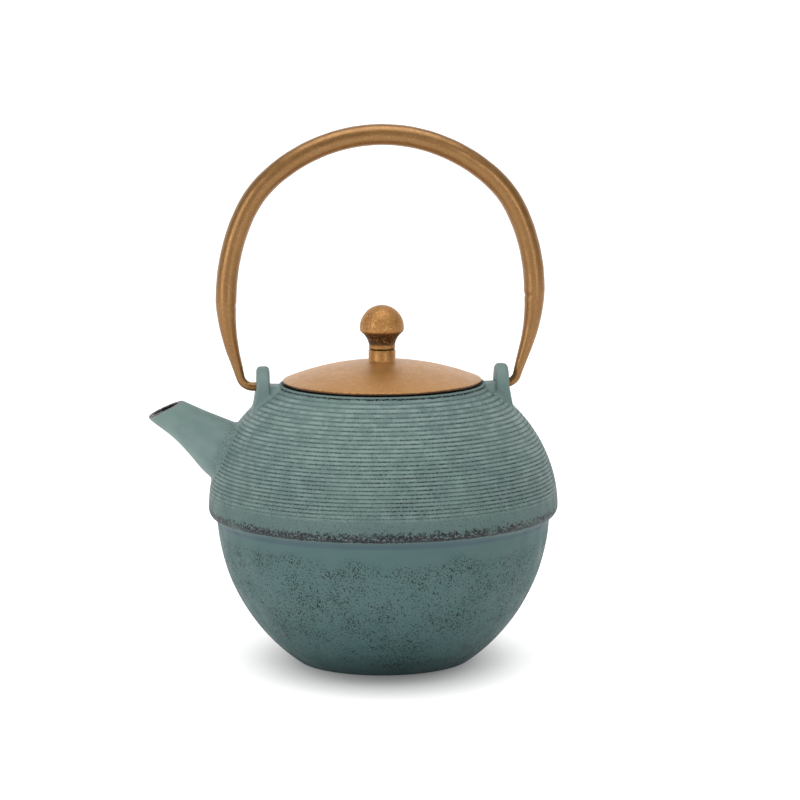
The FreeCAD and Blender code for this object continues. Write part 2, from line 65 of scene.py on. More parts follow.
# spout
SPOUT_MOUTH = (-92.75, 110.4)
SPOUT_TILT = math.radians(37.2)
MOUTH_LOW = (-99.75, 107.3)
MOUTH_RUN = (14.0, 6.2)
SPOUT_WALL = 1.9
SPOUT_ALONG = (6.0, -5.0, -15.0, -24.0, -34.0)
SPOUT_RISE = (-1.5, -0.65, 0.0, 0.1, 0.6)
SPOUT_RADIUS = (6.3, 7.65, 9.2, 11.4, 13.3)

# lid and knob
LID_ARC = 112.4
VENT = (18.0, 16.0)
KNOB_RIM = (9.45, 142.4)
KNOB_TOP = 153.5

# lugs and bail
PIVOT = 119.0
LUG_REACH = 8.7
EYE = 2.0
TUBE = 4.55
HOOK = 1.9
HOOK_BEND = 5.5
BAIL_CENTRE = 157.7
BAIL_ARC = 68.7
SHOULDER_ARC = 32.4

# lug faces: height of the foot, then across at the foot and at the eye
LUG_FOOT = 108.2
LUG_OUTER = (56.0, 54.0)
LUG_INNER = (47.4, 48.3)
LUG_MIDDLE = 51.85

# infuser
SLEEVE_RADIUS = 34.58
SLEEVE_HEIGHTS = (57.0, 114.1)
SLEEVE_HOLES = (104, 27)
SIEVE_HEIGHT = 53.98
SIEVE_PITCH = 2.1
SIEVE_CELLS = 32

# camera, in degrees and metres; its focal length and shift in pixels of the picture
CAMERA_PICTURE = 800
CAMERA_FOCAL = 3300
CAMERA_SHIFT = 17.6
CAMERA_TURN = 3.0
CAMERA_PITCH = 8.4
CAMERA_ROLL = 0.4
CAMERA_DISTANCE = 1.4167
CAMERA_AIM = 0.1124


# ---------------------------------------------------------------- mesh helpers

def wobble(points, length, seed, waves=7):
    """Smooth seeded unevenness between about -1 and 1, with features of the given length."""
    rng = np.random.default_rng(seed)
    total = np.zeros(points.shape[:-1])
    for _ in range(waves):
        direction = rng.normal(size=3)
        direction /= np.linalg.norm(direction)
        rate = 2 * math.pi / length * rng.uniform(0.6, 1.5)
        total += np.sin(points @ direction * rate + rng.uniform(0, 2 * math.pi))
    return total / math.sqrt(waves)


def add_object(name, data):
    piece = bpy.data.objects.new(name, data)
    bpy.context.scene.collection.objects.link(piece)
    return piece


def new_mesh(name, points, faces, smooth=True):
    """Mesh from points in millimetres."""
    mesh = bpy.data.meshes.new(name)
    mesh.from_pydata([tuple(p) for p in np.asarray(points) * MM], [], faces)
    mesh.polygons.foreach_set("use_smooth", [smooth] * len(mesh.polygons))
    return mesh


def make_object(name, points, faces, material, body, values=None):
    """Smooth mesh object that rides on a body."""
    mesh = new_mesh(name, points, faces)
    for key, data in (values or {}).items():
        layer = mesh.attributes.new(key, "FLOAT", "POINT")
        layer.data.foreach_set("value", np.asarray(data, np.float32).ravel())
    mesh.update()
    mesh.materials.append(material)
    piece = add_object(name, mesh)
    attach(piece, body)
    return piece


def paint_nodes(material, *names):
    """Gives carried-over nodes a material; their shape stays as it is."""
    for name in names:
        NODES[name].data.materials.clear()
        NODES[name].data.materials.append(material)


def full_turn(count):
    """Evenly spaced angles round a full turn."""
    return np.linspace(0, 2 * math.pi, count, endpoint=False)


def grid_faces(rows, columns, closed_across, closed_along=False, keep=None):
    faces = []
    last_row = rows if closed_along else rows - 1
    last_column = columns if closed_across else columns - 1
    for i in range(last_row):
        low, high = i * columns, ((i + 1) % rows) * columns
        for j in range(last_column):
            k = (j + 1) % columns
            if keep is None or keep[i, j]:
                faces.append((low + j, low + k, high + k, high + j))
    return faces


def grid_object(name, points, material, body, slot, closed_across=True, closed_along=False,
                keep=None, values=None):
    """Surface through a grid of points [row, column, xyz]."""
    rows, columns = points.shape[:2]
    faces = grid_faces(rows, columns, closed_across, closed_along, keep)
    return make_object(name, points.reshape(-1, 3), faces, material, body, values)


def arc_points(start, end, radius, count):
    """Points along an arc in the outline's plane; a positive radius turns anticlockwise."""
    start, end = np.array(start, float), np.array(end, float)
    chord = end - start
    half = np.linalg.norm(chord) / 2
    side = np.array([-chord[1], chord[0]]) / (2 * half)
    rise = math.sqrt(max(radius * radius - half * half, 0.0))
    centre = (start + end) / 2 + side * (rise if radius > 0 else -rise)
    first = math.atan2(*(start - centre)[::-1])
    last = math.atan2(*(end - centre)[::-1])
    if radius > 0 and last < first:
        last += 2 * math.pi
    if radius < 0 and last > first:
        last -= 2 * math.pi
    turn = np.linspace(first, last, count)
    return centre + abs(radius) * np.stack([np.cos(turn), np.sin(turn)], axis=1)


def rounded_path(corners, spacing):
    """Outline through corners (across, up[, rounding]) with small quadratic rounds at corners."""
    points = []
    count = len(corners)
    for i, corner in enumerate(corners):
        here = np.array(corner[:2], float)
        round_size = corner[2] if len(corner) > 2 else 0.0
        if round_size and 0 < i < count - 1:
            before = np.array(corners[i - 1][:2], float)
            after = np.array(corners[i + 1][:2], float)
            enter = here + (before - here) / np.linalg.norm(before - here) * round_size
            leave = here + (after - here) / np.linalg.norm(after - here) * round_size
            for t in np.linspace(0, 1, 6):
                points.append(enter * (1 - t) ** 2 + 2 * here * t * (1 - t) + leave * t * t)
        else:
            points.append(here)
    filled = [points[0]]
    for point in points[1:]:
        steps = max(1, int(np.linalg.norm(point - filled[-1]) / spacing))
        start = filled[-1]
        filled.extend(start + (point - start) * k / steps for k in range(1, steps + 1))
    return np.array(filled)


def turned(profile, segments):
    """Points of a surface of revolution [row, column, xyz] from an outline (across, up)."""
    turn = full_turn(segments)
    across = profile[:, 0][:, None]
    return np.stack([across * np.cos(turn), across * np.sin(turn),
                     np.repeat(profile[:, 1][:, None], segments, axis=1)], axis=2)


def uneven(points, height, length, seed):
    """Moves points along their own outward direction by a little casting unevenness."""
    centre = points.reshape(-1, 3).mean(0)
    out = points - centre
    out /= np.maximum(np.linalg.norm(out, axis=-1, keepdims=True), 1e-6)
    return points + out * (wobble(points, length, seed) * height)[..., None]


def crossing(function, low, high):
    """Where a function that is below 0 at low and above 0 at high crosses 0, by halving."""
    for _ in range(40):
        middle = (low + high) / 2
        below = function(middle) < 0
        low = np.where(below, middle, low)
        high = np.where(below, high, middle)
    return (low + high) / 2


def unit(vectors):
    return vectors / np.maximum(np.linalg.norm(vectors, axis=-1, keepdims=True), 1e-9)


# ---------------------------------------------------------------- material helpers

class Paint:
    """Small builder for node materials; colour holds the mix so far."""

    def __init__(self, name, roughness=0.5, metallic=0.0, specular=0.5):
        self.material = bpy.data.materials.new(name)
        self.material.use_nodes = True
        self.tree = self.material.node_tree
        self.shader = self.tree.nodes["Principled BSDF"]
        self.shader.inputs["Roughness"].default_value = roughness
        self.shader.inputs["Metallic"].default_value = metallic
        self.shader.inputs["Specular IOR Level"].default_value = specular
        coordinates = self.tree.nodes.new("ShaderNodeTexCoord")
        self.place = coordinates.outputs["Object"]
        split = self.tree.nodes.new("ShaderNodeSeparateXYZ")
        self.tree.links.new(self.place, split.inputs[0])
        self.x, self.y, self.z = split.outputs
        self.colour = (0.5, 0.5, 0.5)

    def feed(self, socket, value):
        if isinstance(value, bpy.types.NodeSocket):
            self.tree.links.new(value, socket)
        elif isinstance(value, tuple) and len(value) == 3 and socket.type == "RGBA":
            socket.default_value = (*value, 1.0)
        else:
            socket.default_value = value

    def math(self, operation, first, second=0.0):
        node = self.tree.nodes.new("ShaderNodeMath")
        node.operation = operation
        self.feed(node.inputs[0], first)
        self.feed(node.inputs[1], second)
        return node.outputs[0]

    def moved(self, value, by, amount):
        """The value plus some amount of another one."""
        return self.math("ADD", value, self.math("MULTIPLY", by, amount))

    def times(self, *factors):
        total = factors[0]
        for factor in factors[1:]:
            total = self.math("MULTIPLY", total, factor)
        return total

    def stretched(self, across, along, up):
        node = self.tree.nodes.new("ShaderNodeVectorMath")
        node.operation = "MULTIPLY"
        self.feed(node.inputs[0], self.place)
        node.inputs[1].default_value = (across, along, up)
        return node.outputs[0]

    def noise(self, size_mm, detail=2.0, rough=0.5, place=None):
        node = self.tree.nodes.new("ShaderNodeTexNoise")
        node.inputs["Scale"].default_value = 1.0 / (size_mm * MM)
        node.inputs["Detail"].default_value = detail
        node.inputs["Roughness"].default_value = rough
        self.feed(node.inputs["Vector"], place or self.place)
        return node.outputs["Fac"]

    def centred_noise(self, size_mm, detail=2.0, rough=0.5):
        """Noise that varies about 0 instead of 0.5."""
        return self.math("SUBTRACT", self.noise(size_mm, detail, rough), 0.5)

    def step(self, value, low, high, to_low=0.0, to_high=1.0):
        """Smooth change from to_low to to_high while value goes from low to high."""
        node = self.tree.nodes.new("ShaderNodeMapRange")
        node.interpolation_type = "SMOOTHSTEP"
        self.feed(node.inputs["Value"], value)
        for key, number in (("From Min", low), ("From Max", high),
                            ("To Min", to_low), ("To Max", to_high)):
            self.feed(node.inputs[key], number)
        return node.outputs["Result"]

    def band(self, value, low, high, soft):
        """1 between low and high, fading over soft on each side."""
        return self.times(self.step(value, low - soft, low + soft),
                          self.step(value, high - soft, high + soft, 1.0, 0.0))

    def mix(self, amount, first, second):
        node = self.tree.nodes.new("ShaderNodeMix")
        node.data_type = "RGBA"
        self.feed(node.inputs[0], amount)
        self.feed(node.inputs[6], first)
        self.feed(node.inputs[7], second)
        return node.outputs[2]

    def over(self, tone, *amounts):
        """Lays a tone over the colour so far, by the product of the amounts."""
        self.colour = self.mix(self.times(*amounts), self.colour, tone)

    def value(self, name):
        node = self.tree.nodes.new("ShaderNodeAttribute")
        node.attribute_name = name
        return node.outputs["Fac"]

    def bump(self, height, distance_mm, strength=1.0, under=None):
        node = self.tree.nodes.new("ShaderNodeBump")
        node.inputs["Strength"].default_value = strength
        node.inputs["Distance"].default_value = distance_mm * MM
        self.feed(node.inputs["Height"], height)
        if under is not None:
            self.feed(node.inputs["Normal"], under)
        return node.outputs["Normal"]

    def finish(self, roughness, normal):
        for key, value in (("Base Color", self.colour), ("Roughness", roughness),
                           ("Normal", normal)):
            self.feed(self.shader.inputs[key], value)
        return self.material


def teal_base(paint):
    """Grey-green paint that drifts between greener and bluer."""
    drift = paint.step(paint.noise(38.0, 3.0), 0.38, 0.64)
    cloud = paint.step(paint.noise(7.0, 3.0), 0.35, 0.68, 0.0, 0.40)
    paint.colour = paint.mix(drift, (0.120, 0.188, 0.169), (0.108, 0.168, 0.163))
    paint.over((0.122, 0.176, 0.170), cloud)


def pot_paint():
    """Paint of the pot: dark broken marks in the grooves, chipped lip and speckled bowl."""
    paint = Paint("pot_paint", roughness=0.62, specular=0.28)
    teal_base(paint)
    dark = (0.008, 0.011, 0.012)
    speck = (0.005, 0.012, 0.013)
    iron = (0.009, 0.010, 0.012)

    # the bowl is bluer than the dome, with painted shade darkening it towards the foot
    # and most at the floor; above the lip the band without ribs is a little darker too
    wander = paint.moved(paint.z, paint.centred_noise(22.0), 0.016)
    below_lip = paint.step(paint.z, 0.0612, 0.0632, 1.0, 0.0)
    paint.over((0.066, 0.133, 0.133), below_lip, 0.85)
    paint.over((0.038, 0.090, 0.092), paint.step(wander, 0.006, 0.046, 0.85, 0.0))
    paint.over((0.016, 0.038, 0.040), paint.step(paint.z, 0.000, 0.014, 0.6, 0.0))

    plain_band = paint.band(paint.z, 0.0640, 0.0725, 0.003)
    paint.over((0.070, 0.118, 0.112), plain_band, 0.45)

    # painted shade: the dome darkens towards the lip
    paint.over((0.050, 0.090, 0.084), paint.step(paint.z, 0.066, 0.102, 0.22, 0.0))

    # crests of the ribs lighter: partly rubbed paint, partly a painted highlight that grows towards
    # the top
    rubbed = paint.step(paint.noise(5.0, 2.0), 0.35, 0.65)
    crest = paint.step(paint.value("groove"), 0.0, 0.30, 1.0, 0.0)
    on_ribs = paint.band(paint.z, 0.073, 0.1185, 0.002)
    painted_highlight_high_up = paint.step(paint.z, 0.075, 0.116, 0.42, 0.90)
    paint.over((0.200, 0.280, 0.255), crest, on_ribs, rubbed, painted_highlight_high_up)

    # dark broken marks left in the grooves, over a faint painted shade along each groove;
    # height is taken on the smooth outline
    sunk = paint.times(paint.value("groove"), RIB_DEPTH * MM,
                       paint.step(paint.z, DOME_CENTRE[1] * MM, 0.126))
    level = paint.moved(paint.math("ADD", paint.z, sunk), paint.centred_noise(0.75, 3.0, 0.7),
                        0.0010)
    turns = paint.math("DIVIDE", paint.math("SUBTRACT", RIB_TOP * MM, level), RIB_PITCH * MM)
    phase = paint.math("FRACT", turns)
    off_groove = paint.math("MINIMUM", phase, paint.math("SUBTRACT", 1.0, phase))
    line = paint.step(off_groove, 0.09, 0.19, 1.0, 0.0)
    broken = paint.step(paint.noise(0.85, 4.0, 0.7), 0.45, 0.50)
    patches = paint.step(paint.noise(26.0, 3.0), 0.30, 0.55, 0.55, 1.0)
    # the marks are painted fainter towards the top and the left, where the light falls: painted
    # light
    present = paint.times(paint.step(paint.value("fade"), 0.05, 0.6),
                          paint.step(paint.z, 0.085, 0.117, 1.0, 0.60),
                          paint.step(paint.x, -0.062, -0.005, 0.70, 1.0))
    paint.over((0.045, 0.070, 0.068), present, line, 0.15)
    paint.over(dark, present, line, broken, patches, 0.95)

    # chips along the lip, crisp below and ragged above
    fray = paint.centred_noise(1.5, 4.0, 0.7)
    upper = paint.moved(paint.z, fray, 0.0095)
    lower = paint.moved(paint.z, fray, 0.0020)
    lip = paint.times(paint.step(lower, 0.06385, 0.06415),
                      paint.step(upper, 0.0670, 0.0681, 1.0, 0.0))
    heavy = paint.step(paint.noise(16.0, 2.0), 0.28, 0.48, 0.45, 1.0)
    grains = paint.math("MAXIMUM", paint.step(paint.noise(0.80, 2.0), 0.40, 0.47),
                        paint.step(paint.z, 0.0644, 0.0653, 0.85, 0.0))
    lip_tone = paint.mix(paint.step(paint.noise(3.0, 2.0), 0.4, 0.6), iron, (0.022, 0.019, 0.024))
    paint.over(lip_tone, lip, heavy, grains)

    # painted shade under the lip: blue-grey on its underside and on the bowl just below
    painted_shade_lip_underside = paint.band(paint.z, 0.0630, 0.0637, 0.0004)
    paint.over((0.062, 0.100, 0.112), painted_shade_lip_underside, 0.70)
    painted_shade_under_lip = paint.band(paint.z, 0.0607, 0.0631, 0.0007)
    paint.over((0.045, 0.078, 0.098), painted_shade_under_lip, 0.7)

    # fine specks in clouds over the bowl
    clouds = paint.step(paint.noise(15.0, 3.0, 0.65), 0.38, 0.60, 0.0, 0.050)
    fine = paint.math("ADD", paint.noise(0.62, 2.0, 0.6), clouds)
    on_bowl = paint.band(wander, 0.004, 0.0545, 0.003)
    paint.over(speck, paint.step(fine, 0.592, 0.615), on_bowl, 0.95)
    coarse = paint.math("ADD", paint.noise(1.5, 3.0, 0.6), clouds)
    paint.over(speck, paint.step(coarse, 0.665, 0.685), on_bowl, 0.95)
    dusty = paint.times(paint.band(paint.z, 0.0650, 0.0800, 0.0025),
                        paint.step(paint.noise(0.7, 3.0, 0.65), 0.56, 0.62))
    paint.over(speck, dusty, 0.45)

    # dark crease round the neck, and painted shade on its top where the lid covers it
    neck = paint.band(paint.moved(paint.z, fray, 0.0016), 0.11855, 0.11915, 0.00012)
    paint.over(iron, neck, paint.step(paint.noise(2.2, 4.0, 0.7), 0.42, 0.50))
    radius = paint.math("SQRT", paint.math("ADD", paint.times(paint.x, paint.x),
                                           paint.times(paint.y, paint.y)))
    painted_shade_under_lid = paint.times(paint.step(paint.z, 0.11970, 0.11985),
                            paint.step(radius, 0.0432, 0.0436, 1.0, 0.0))
    paint.over((0.010, 0.012, 0.012), painted_shade_under_lid)

    grain = paint.bump(paint.noise(0.8, 4.0, 0.6), 0.10, 0.55)
    sand = paint.bump(paint.noise(0.28, 2.0), 0.04, 0.5, grain)
    rough = paint.step(paint.noise(9.0, 3.0), 0.3, 0.7, 0.52, 0.70)
    return paint.finish(rough, sand)


def spout_paint():
    """Smooth mottled paint of the spout and lugs, rubbed to bare iron at sharp rims."""
    paint = Paint("spout_paint", roughness=0.58, specular=0.4)
    teal_base(paint)
    soft = paint.step(paint.noise(6.0, 3.0), 0.35, 0.65)
    paint.over((0.170, 0.240, 0.225), soft, 0.35)
    paint.over((0.185, 0.270, 0.245), 0.22)
    fray = paint.centred_noise(0.9, 4.0, 0.7)
    worn = paint.step(paint.moved(paint.value("edge"), fray, 1.2), 0.55, 0.72)
    metal = paint.mix(paint.step(paint.noise(0.6, 2.0), 0.46, 0.54), (0.170, 0.145, 0.155),
                      (0.035, 0.030, 0.034))
    paint.over(metal, worn)
    crease = paint.times(paint.value("root"), paint.step(paint.noise(0.8, 4.0, 0.7), 0.50, 0.58))
    paint.over((0.026, 0.036, 0.036), crease, 0.5)
    grain = paint.bump(paint.noise(0.9, 4.0, 0.6), 0.08, 0.5)
    return paint.finish(paint.step(paint.noise(9.0), 0.3, 0.7, 0.48, 0.66), grain)


def enamel():
    """Dark fired enamel inside the pot, with a fine orange-peel surface."""
    paint = Paint("enamel", roughness=0.28, specular=0.5)
    tone = paint.step(paint.noise(12.0, 3.0), 0.35, 0.65)
    paint.colour = paint.mix(tone, (0.012, 0.013, 0.014), (0.022, 0.023, 0.024))
    peel = paint.bump(paint.noise(1.6, 2.0), 0.05, 0.5)
    return paint.finish(paint.step(paint.noise(5.0), 0.3, 0.7, 0.22, 0.36), peel)


def bronze(name, grain_mm, contrast, light, matte=0.0, deepen=None):
    """Satin bronze paint with a fine metallic grain under a thin clear coat."""
    paint = Paint(name, roughness=0.40, metallic=0.70, specular=0.5)
    paint.shader.inputs["Coat Weight"].default_value = 0.26 - matte
    paint.shader.inputs["Coat Roughness"].default_value = 0.36
    tone = paint.step(paint.noise(16.0, 3.0), 0.35, 0.65)
    paint.colour = paint.mix(tone, (0.42 * light, 0.204 * light, 0.056 * light),
                             (0.38 * light, 0.180 * light, 0.044 * light))
    sparkle = paint.step(paint.noise(grain_mm, 1.0), 0.56, 0.70)
    paint.over((0.66, 0.41, 0.18), sparkle, contrast)
    pits = paint.step(paint.noise(grain_mm * 1.3, 1.0, 0.6), 0.30, 0.42, 1.0, 0.0)
    paint.over((0.16, 0.068, 0.020), pits, contrast)
    # deepen lays on the caller's painted shade; the knob's also holds a dark line at its joints
    if deepen is not None:
        paint.over((0.050, 0.023, 0.009), deepen(paint))
    fine = paint.bump(paint.noise(grain_mm, 2.0), 0.05, contrast)
    broad = paint.bump(paint.noise(4.0, 3.0), 0.03, 0.25, fine)
    rough = paint.step(paint.noise(3.0, 3.0), 0.3, 0.7, 0.38 + matte, 0.48 + matte)
    return paint.finish(rough, broad)


def knob_shadow(paint):
    """Painted shade in blotches under the knob's rim, and a dark line at its joints."""
    under = paint.band(paint.z, 0.1366, 0.1421, 0.0006)
    blotch = paint.step(paint.noise(0.9, 4.0, 0.65), 0.36, 0.54, 0.45, 1.0)
    joint = paint.band(paint.z, 0.1338, 0.1350, 0.0002)
    return paint.math("MAXIMUM", paint.times(under, blotch, 0.97), joint)


def lid_shadow(paint):
    """Painted shade on the lid's edge and underside, ragged where it fades out."""
    ragged = paint.moved(paint.z, paint.centred_noise(0.9, 3.0, 0.7), 0.0012)
    return paint.step(ragged, 0.1210, 0.1215, 0.95, 0.0)


def steel(name, roughness, brushed):
    paint = Paint(name, roughness=roughness, metallic=1.0)
    lines = paint.noise(0.5, 3.0, 0.5, paint.stretched(*brushed))
    paint.colour = paint.mix(paint.step(lines, 0.3, 0.7), (0.50, 0.50, 0.51), (0.64, 0.64, 0.64))
    marks = paint.bump(lines, 0.01, 0.5)
    return paint.finish(paint.step(lines, 0.3, 0.7, roughness - 0.06, roughness + 0.08), marks)


# ---------------------------------------------------------------- pot

def pot_surface(name, points, material, **more):
    return grid_object(name, points, material, "pot", "pot_iron", **more)


def dome_crest(height):
    """Radius and outward direction of the dome's smooth outline at given heights."""
    slope = np.clip((height - DOME_CENTRE[1]) / DOME_ARC, -1, 1)
    out_across = np.sqrt(1 - slope ** 2)
    across = DOME_CENTRE[0] + DOME_ARC * out_across
    on_neck = height > NECK_FOOT
    return (np.where(on_neck, NECK_RADIUS, across), np.where(on_neck, 1.0, out_across),
            np.where(on_neck, 0.0, slope))


def dome_height(x, y, inset=0.0):
    """Height of the dome's outside above a point of the plan."""
    across = np.hypot(x, y) - DOME_CENTRE[0]
    return DOME_CENTRE[1] + np.sqrt(np.maximum((DOME_ARC - inset) ** 2 - across ** 2, 0.0))


def outside_dome(point, inset=0.0):
    """Distance of points outside the dome's outline."""
    across = np.hypot(point[..., 0], point[..., 1]) - DOME_CENTRE[0]
    return np.hypot(across, point[..., 2] - DOME_CENTRE[1]) - (DOME_ARC - inset)


def spout_place(along, up, across):
    """Point given along the spout's axis, up from it and across it."""
    cos, sin = math.cos(SPOUT_TILT), math.sin(SPOUT_TILT)
    return np.stack([SPOUT_MOUTH[0] - along * cos + up * sin, across + 0.0 * along,
                     SPOUT_MOUTH[1] + along * sin + up * cos], axis=-1)


def spout_depth(points):
    """Distance of points from the spout's axis, and its outer radius there."""
    cos, sin = math.cos(SPOUT_TILT), math.sin(SPOUT_TILT)
    dx, dz = points[..., 0] - SPOUT_MOUTH[0], points[..., 2] - SPOUT_MOUTH[1]
    along = -dx * cos + dz * sin
    up = dx * sin + dz * cos
    held = np.clip(along, SPOUT_ALONG[-1], SPOUT_ALONG[0])
    centre = np.polyval(SPOUT_RISE_FIT, held)
    return np.hypot(up - centre, points[..., 1]), np.polyval(SPOUT_RADIUS_FIT, held)


SPOUT_RADIUS_FIT = np.polyfit(SPOUT_ALONG, SPOUT_RADIUS, 4)
SPOUT_RISE_FIT = np.polyfit(SPOUT_ALONG, SPOUT_RISE, 4)


def rib_rows():
    """Rows of the ribbed dome from the neck down: height, and groove depth as a share."""
    heights, shares = [], []
    for rib in range(RIB_COUNT):
        fade = min(1.0, (RIB_COUNT - rib) / RIB_FADING)
        for t in (0.0, 0.09, 0.24, 0.5, 0.76, 0.91):
            cord = 1.0 - math.sqrt(1.0 - (2 * t - 1) ** 2) if t else 1.0
            heights.append(RIB_TOP - RIB_PITCH * (rib + t))
            shares.append(fade * cord)
    return np.array(heights), np.array(shares)


def pot_skin(material):
    """Outside of the pot's turned form: foot, bowl, lip, ribbed dome and neck."""
    segments = 360
    heights, shares = rib_rows()
    across, out_across, out_up = dome_crest(heights)
    neck = rounded_path([(42.0, NECK_TOP), (NECK_RADIUS, NECK_TOP, 0.45),
                         (NECK_RADIUS, RIB_TOP + 0.1)], 0.5)
    band_top = heights[-1] - 0.15
    band = arc_points((dome_crest(band_top)[0], band_top), LIP_TOP, -DOME_ARC, 6)
    lip = arc_points(LIP_TOP, LIP_EDGE, -LIP_ROUND, 9)[1:]
    bowl = arc_points((FOOT_RADIUS, 0.0), BOWL_TOP, BOWL_ARC, 44)[::-1]
    corner_low = bowl[2]
    inside = np.array(LIP_EDGE) * 0.45 + np.array(BOWL_TOP) * 0.55
    corner = [inside * (1 - t) ** 2 + 2 * np.array(BOWL_TOP) * t * (1 - t) + corner_low * t * t
              for t in np.linspace(0, 1, 6)]
    foot = rounded_path([tuple(bowl[-2]), (FOOT_RADIUS, 0.0, 0.5), (31.0, 0.0, 0.2), (31.0, 1.0),
                         (9.0, 1.0), (9.0, 0.0, 0.2), (0.05, 0.0)], 3.0)
    plain_after = np.concatenate([band[1:], lip, np.array(corner), bowl[3:-2], foot])
    profile = np.concatenate([neck, np.stack([across, heights], 1), plain_after])
    directions = np.zeros_like(profile)
    first, last = len(neck), len(neck) + len(heights)
    directions[first:last] = np.stack([out_across, out_up], 1)
    depth, fade = np.zeros(len(profile)), np.zeros(len(profile))
    depth[first:last] = shares
    fade[first:last] = np.clip((heights - heights[-1]) / (RIB_PITCH * RIB_FADING), 0, 1)
    base = turned(profile, segments)
    turn = full_turn(segments)
    share = depth[:, None] * (0.85 + 0.15 * wobble(base * np.array([1, 1, 9.0]), 14.0, 3))
    inward = share * RIB_DEPTH
    sway = np.zeros(len(profile))
    sway[first + 8:last] = 1.0
    lift = sway[:, None] * 0.07 * wobble(base * np.array([1, 1, 4.0]), 22.0, 5)
    radius = profile[:, 0][:, None] - inward * directions[:, 0][:, None]
    radius = radius + lift * directions[:, 1][:, None]
    height = profile[:, 1][:, None] - inward * directions[:, 1][:, None]
    height = height - lift * directions[:, 0][:, None]
    outward = np.clip((profile[:, 1] - 2.0) / 10.0, 0, 1)[:, None]
    radius = radius - outward * (0.06 + 0.06 * wobble(base, 26.0, 9))
    lip_share = np.exp(-((profile[:, 1] - 66.5) / 1.8) ** 2)[:, None]
    radius = radius - lip_share * 0.14 * np.clip(wobble(base, 5.0, 11), 0, 1)
    points = np.stack([radius * np.cos(turn), radius * np.sin(turn),
                       height + 0.0 * radius], axis=2)
    middle = (points + np.roll(points, -1, axis=1)) / 2
    distance, limit = spout_depth(middle)
    inside_spout = (distance < limit - 0.9) & (points[..., 0] < -40)
    piece = pot_surface("pot_skin", points, material, keep=~inside_spout,
                        values={"groove": share, "fade": fade[:, None] + 0.0 * share})
    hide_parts("pot_body")


def pot_lining(material):
    """Inside of the pot: neck, ledge, dome and bowl."""
    neck = rounded_path([(42.0, NECK_TOP), (38.6, NECK_TOP, 0.3), (38.6, LEDGE, 0.2),
                         (36.2, LEDGE, 0.3), (36.2, LINING_TOP[1], 0.3), LINING_TOP], 1.0)
    dome = arc_points(LINING_TOP, (72.1, 70.0), -(DOME_ARC - WALL), 34)[1:]
    bowl = arc_points((37.0, LINING_FLOOR), (68.5, BOWL_TOP[1]), BOWL_ARC - WALL, 30)[::-1]
    profile = np.concatenate([neck, dome, bowl, [(20.0, LINING_FLOOR), (0.05, LINING_FLOOR)]])
    points = turned(profile, 200)
    middle = (points + np.roll(points, -1, axis=1)) / 2
    distance, limit = spout_depth(middle)
    inside_bore = (distance < limit - SPOUT_WALL - 0.4) & (points[..., 0] < -40)
    pot_surface("pot_lining", points, material, keep=~inside_bore)


def dome_normal(points):
    across = np.hypot(points[..., 0], points[..., 1])
    out = np.stack([points[..., 0] / across * (across - DOME_CENTRE[0]),
                    points[..., 1] / across * (across - DOME_CENTRE[0]),
                    points[..., 2] - DOME_CENTRE[1]], axis=-1)
    return unit(out)


def root_rows(contact, rising, away, size, steps=7):
    """Rows of a small concave fillet from the dome up to a part that stands on it."""
    normal = dome_normal(contact)
    flat = unit(away - normal * (away * normal).sum(-1, keepdims=True))
    foot = contact + flat * size
    foot -= dome_normal(foot) * outside_dome(foot)[..., None]
    top = contact + rising * size
    rows = [foot + flat * 0.7 - normal * 0.75, foot - normal * 0.12]
    for t in np.linspace(0, 1, steps)[1:]:
        rows.append(foot * (1 - t) ** 2 + 2 * contact * t * (1 - t) + top * t * t)
    return rows


